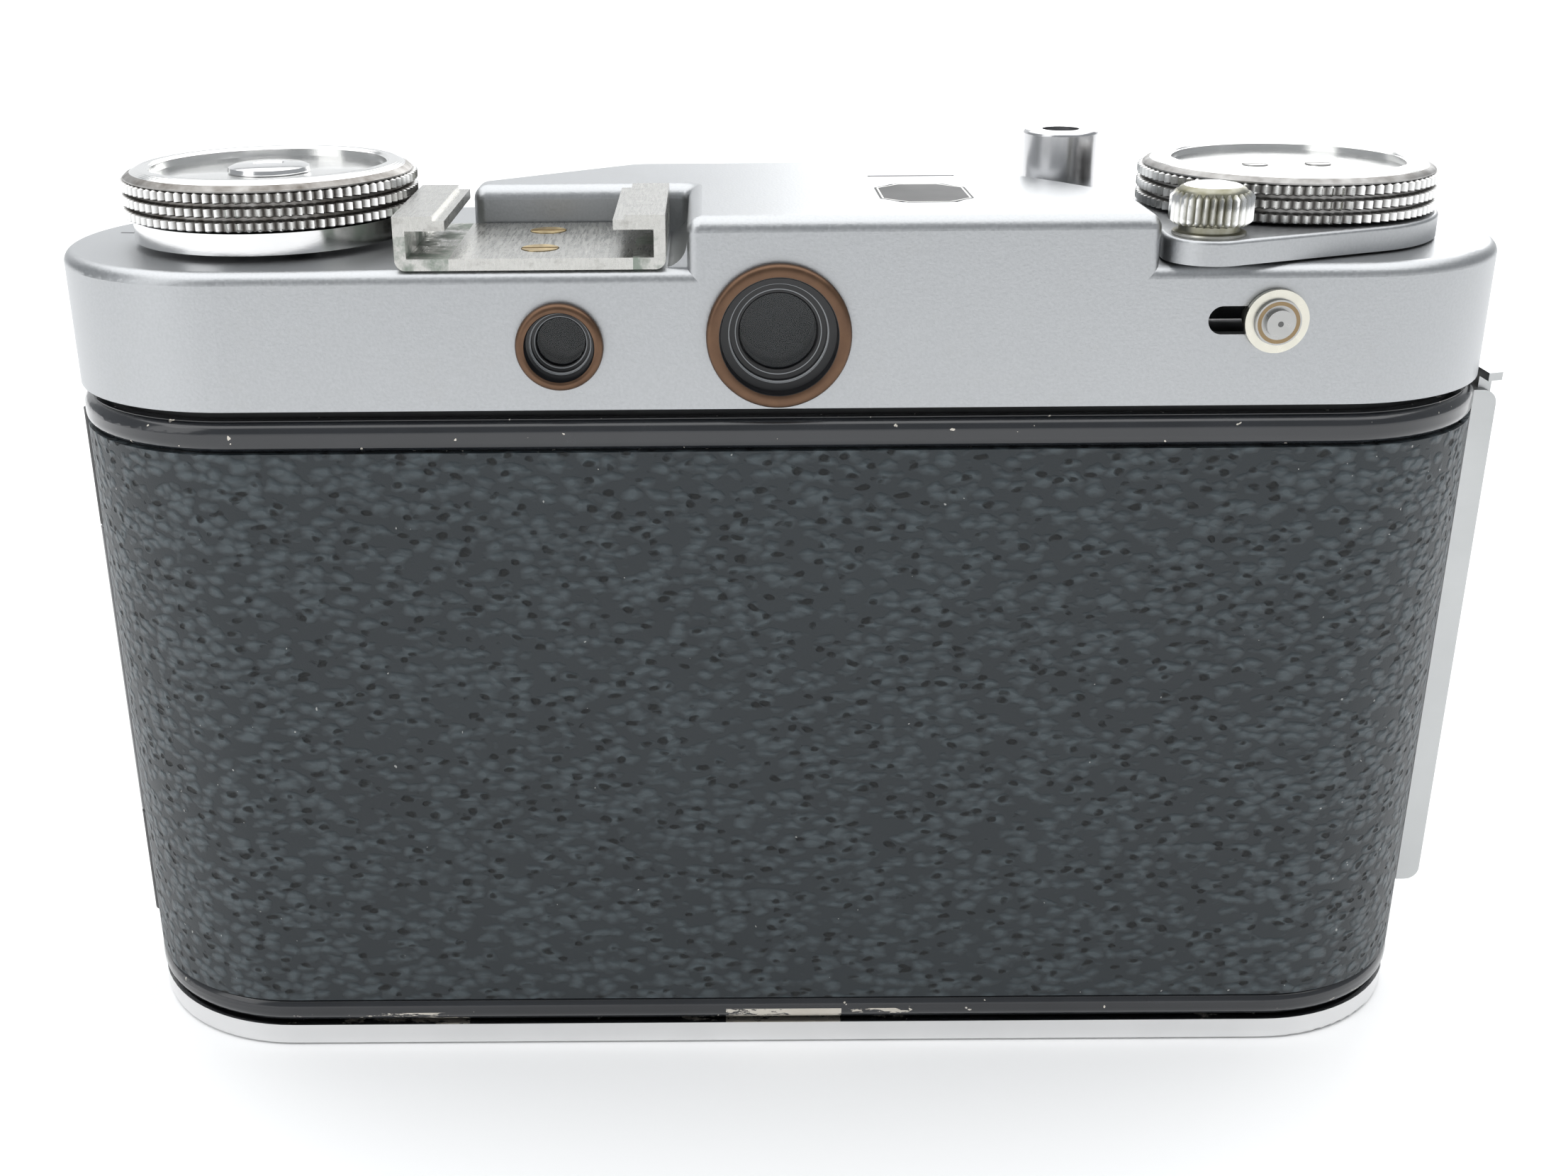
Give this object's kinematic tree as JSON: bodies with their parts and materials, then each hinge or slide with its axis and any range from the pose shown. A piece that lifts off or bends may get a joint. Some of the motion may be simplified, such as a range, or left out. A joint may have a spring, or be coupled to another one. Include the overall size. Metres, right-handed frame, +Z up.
{
  "type": "rangefinder camera",
  "caption": "Compact metal rangefinder camera with a hinged back, round ends, accessory shoe, knurled rewind and counter dials, advance lever and a leaf shutter lens.",
  "frame": {"origin": "centre of the tripod socket mouth on the underside", "axes": "+Z up, +Y from the back door towards the subject, +X to the right of the person holding it"},
  "size_m": [0.1224, 0.0588, 0.0777],
  "materials": {
    "satin_chrome": "bead-blasted satin chrome",
    "bright_chrome": "polished chrome",
    "brushed_steel": "brushed",
    "black_paint": "gloss black enamel",
    "black_leather": "pebbled",
    "worn_brass": "worn, once blackened",
    "brass": "dull",
    "glass": "coated",
    "mirror": "silvered",
    "black_steel": "blackened",
    "cast_alloy": "painted black inside",
    "steel": "plain",
    "white_lacquer": "printed",
    "milky_pane": "translucent white"
  },
  "bodies": {
    "camera_body": {"body_casting": "cast_alloy", "body_floor": "cast_alloy", "film_gate": "black_steel", "base_plate": "satin_chrome", "base_screws": "steel", "tripod_bush": "brushed_steel", "leather_front_left": "black_leather", "leather_front_right": "black_leather", "lens_board": "satin_chrome", "top_cover": "satin_chrome", "accessory_shoe": "bright_chrome", "shoe_screws": "brass", "viewfinder_eyepiece": "worn_brass", "viewfinder_eye_lens": "glass", "rangefinder_eyepiece": "worn_brass", "rangefinder_eye_lens": "glass", "window_bezel": "satin_chrome", "viewfinder_window": "glass", "rangefinder_windows": "glass", "light_window": "milky_pane", "beam_splitter": "glass", "hinge_pin": "steel", "dial_spindle": "steel", "shutter_housing": "black_paint", "sync_socket": "bright_chrome", "rear_lens": "glass", "dial_plate": "brushed_steel", "dial_screws": "steel"},
    "door": {"back_door": "black_paint", "back_leather": "black_leather", "pressure_spring": "steel"},
    "film_pressure": {"pressure_plate": "black_steel"},
    "latch": {"latch_bar": "brushed_steel"},
    "rewind_lift": {"rewind_sleeve": "bright_chrome"},
    "rewind": {"rewind_knob": "bright_chrome", "rewind_shaft": "steel", "reminder_screw": "bright_chrome"},
    "reminder": {"reminder_disc": "white_lacquer"},
    "lever": {"advance_lever": "satin_chrome", "lever_knob": "bright_chrome"},
    "counter": {"counter_dial": "bright_chrome"},
    "sprocket": {"sprocket_shaft": "steel"},
    "spool": {"take_up_spool": "black_steel"},
    "release_button": {"shutter_button": "bright_chrome"},
    "rewind_release": {"rewind_release_button": "brushed_steel"},
    "focus": {"focus_ring": "satin_chrome"},
    "lens_unit": {"lens_barrel": "satin_chrome", "front_lens": "glass"},
    "finder_mirror": {"rangefinder_mirror": "mirror"},
    "speed": {"speed_ring": "satin_chrome"},
    "aperture": {"aperture_ring": "satin_chrome"},
    "self_timer": {"self_timer_lever": "bright_chrome"},
    "shutter_leaf_1": {"shutter_blade_1": "black_steel"},
    "shutter_leaf_2": {"shutter_blade_2": "black_steel"},
    "shutter_leaf_3": {"shutter_blade_3": "black_steel"},
    "iris_leaf_1": {"aperture_blade_1": "black_steel"},
    "iris_leaf_2": {"aperture_blade_2": "black_steel"},
    "iris_leaf_3": {"aperture_blade_3": "black_steel"},
    "iris_leaf_4": {"aperture_blade_4": "black_steel"},
    "iris_leaf_5": {"aperture_blade_5": "black_steel"}
  },
  "joints": [
    {"name": "door_hinge", "type": "hinge", "parent": "camera_body", "child": "door", "pos_m": [-0.0596, 0.0006, 0.03], "axis": [0, 0, -1], "range_deg": [0, 110]},
    {"name": "pressure_plate_slide", "type": "slide", "parent": "door", "child": "film_pressure", "axis": [0, -1, 0], "range_m": [0, 0.0005], "stiffness_N_per_m": 300, "springref_m": -0.003},
    {"name": "latch_slide", "type": "slide", "parent": "door", "child": "latch", "axis": [0, 0, -1], "range_m": [0, 0.003], "stiffness_N_per_m": 250, "springref_m": -0.004},
    {"name": "rewind_lift_slide", "type": "slide", "parent": "camera_body", "child": "rewind_lift", "axis": [0, 0, 1], "range_m": [0, 0.008]},
    {"name": "rewind_turn", "type": "hinge", "parent": "rewind_lift", "child": "rewind", "pos_m": [-0.0421, 0, 0.0728], "axis": [0, 0, 1], "continuous": true},
    {"name": "reminder_turn", "type": "hinge", "parent": "rewind", "child": "reminder", "pos_m": [-0.0421, 0, 0.0751], "axis": [0, 0, 1], "continuous": true},
    {"name": "lever_turn", "type": "hinge", "parent": "camera_body", "child": "lever", "pos_m": [0.0421, 0, 0.0706], "axis": [0, 0, 1], "range_deg": [0, 150], "stiffness_Nm_per_rad": 0.02, "springref_deg": -28.65},
    {"name": "counter_turn", "type": "hinge", "parent": "camera_body", "child": "counter", "pos_m": [0.0421, 0, 0.0727], "axis": [0, 0, 1], "range_deg": [0, 10]},
    {"name": "sprocket_turn", "type": "hinge", "parent": "camera_body", "child": "sprocket", "pos_m": [0.0273, -0.0052, 0.03], "axis": [0, 0, 1], "range_deg": [0, 360.5]},
    {"name": "spool_turn", "type": "hinge", "parent": "camera_body", "child": "spool", "pos_m": [0.0421, 0, 0.03], "axis": [0, 0, 1], "range_deg": [0, 311]},
    {"name": "shutter_press", "type": "slide", "parent": "camera_body", "child": "release_button", "axis": [0, 0, -1], "range_m": [0, 0.0035], "stiffness_N_per_m": 300, "springref_m": -0.002},
    {"name": "rewind_release_slide", "type": "slide", "parent": "camera_body", "child": "rewind_release", "axis": [-1, 0, 0], "range_m": [0, 0.004]},
    {"name": "focus_turn", "type": "hinge", "parent": "camera_body", "child": "focus", "pos_m": [0, 0.032, 0.0307], "axis": [0, 1, 0], "range_deg": [0, 150]},
    {"name": "lens_focus_slide", "type": "slide", "parent": "camera_body", "child": "lens_unit", "axis": [0, 1, 0], "range_m": [0, 0.00262]},
    {"name": "mirror_turn", "type": "hinge", "parent": "camera_body", "child": "finder_mirror", "pos_m": [0.019, 0.004, 0.0646], "axis": [0, 0, 1], "range_deg": [0, 3.2]},
    {"name": "speed_turn", "type": "hinge", "parent": "camera_body", "child": "speed", "pos_m": [0, 0.0226, 0.0307], "axis": [0, 1, 0], "range_deg": [0, 110]},
    {"name": "aperture_turn", "type": "hinge", "parent": "camera_body", "child": "aperture", "pos_m": [0, 0.028, 0.0307], "axis": [0, 1, 0], "range_deg": [0, 100]},
    {"name": "self_timer_swing", "type": "hinge", "parent": "camera_body", "child": "self_timer", "pos_m": [-0.0213, 0.0172, 0.0137], "axis": [0, -1, 0], "range_deg": [0, 150]},
    {"name": "shutter_leaf_1_swing", "type": "hinge", "parent": "camera_body", "child": "shutter_leaf_1", "pos_m": [0.0185, 0.0188, 0.0307], "axis": [0, 1, 0], "range_deg": [0, 35], "stiffness_Nm_per_rad": 0.001, "springref_deg": -22.92},
    {"name": "shutter_leaf_2_swing", "type": "hinge", "parent": "camera_body", "child": "shutter_leaf_2", "pos_m": [-0.00925, 0.01915, 0.04672], "axis": [0, 1, 0], "range_deg": [0, 35]},
    {"name": "shutter_leaf_3_swing", "type": "hinge", "parent": "camera_body", "child": "shutter_leaf_3", "pos_m": [-0.00925, 0.0195, 0.01468], "axis": [0, 1, 0], "range_deg": [0, 35]},
    {"name": "iris_leaf_1_swing", "type": "hinge", "parent": "camera_body", "child": "iris_leaf_1", "pos_m": [0.01173, 0.023, 0.03922], "axis": [0, -1, 0], "range_deg": [0, 30.5]},
    {"name": "iris_leaf_2_swing", "type": "hinge", "parent": "camera_body", "child": "iris_leaf_2", "pos_m": [-0.00448, 0.02335, 0.04449], "axis": [0, -1, 0], "range_deg": [0, 30.5]},
    {"name": "iris_leaf_3_swing", "type": "hinge", "parent": "camera_body", "child": "iris_leaf_3", "pos_m": [-0.0145, 0.0237, 0.0307], "axis": [0, -1, 0], "range_deg": [0, 30.5]},
    {"name": "iris_leaf_4_swing", "type": "hinge", "parent": "camera_body", "child": "iris_leaf_4", "pos_m": [-0.00448, 0.02405, 0.01691], "axis": [0, -1, 0], "range_deg": [0, 30.5]},
    {"name": "iris_leaf_5_swing", "type": "hinge", "parent": "camera_body", "child": "iris_leaf_5", "pos_m": [0.01173, 0.0244, 0.02218], "axis": [0, -1, 0], "range_deg": [0, 30.5]}
  ],
  "couplings": [
    {"joint": "counter_turn", "follows": "lever_turn", "ratio": 0.06},
    {"joint": "sprocket_turn", "follows": "lever_turn", "ratio": 2.4},
    {"joint": "spool_turn", "follows": "lever_turn", "ratio": 2.07},
    {"joint": "lens_focus_slide", "follows": "focus_turn", "m_per_rad": 0.001},
    {"joint": "mirror_turn", "follows": "focus_turn", "ratio": 0.02},
    {"joint": "shutter_leaf_2_swing", "follows": "shutter_leaf_1_swing", "ratio": 1},
    {"joint": "shutter_leaf_3_swing", "follows": "shutter_leaf_1_swing", "ratio": 1},
    {"joint": "iris_leaf_1_swing", "follows": "aperture_turn", "ratio": 0.3},
    {"joint": "iris_leaf_2_swing", "follows": "aperture_turn", "ratio": 0.3},
    {"joint": "iris_leaf_3_swing", "follows": "aperture_turn", "ratio": 0.3},
    {"joint": "iris_leaf_4_swing", "follows": "aperture_turn", "ratio": 0.3},
    {"joint": "iris_leaf_5_swing", "follows": "aperture_turn", "ratio": 0.3}
  ]
}
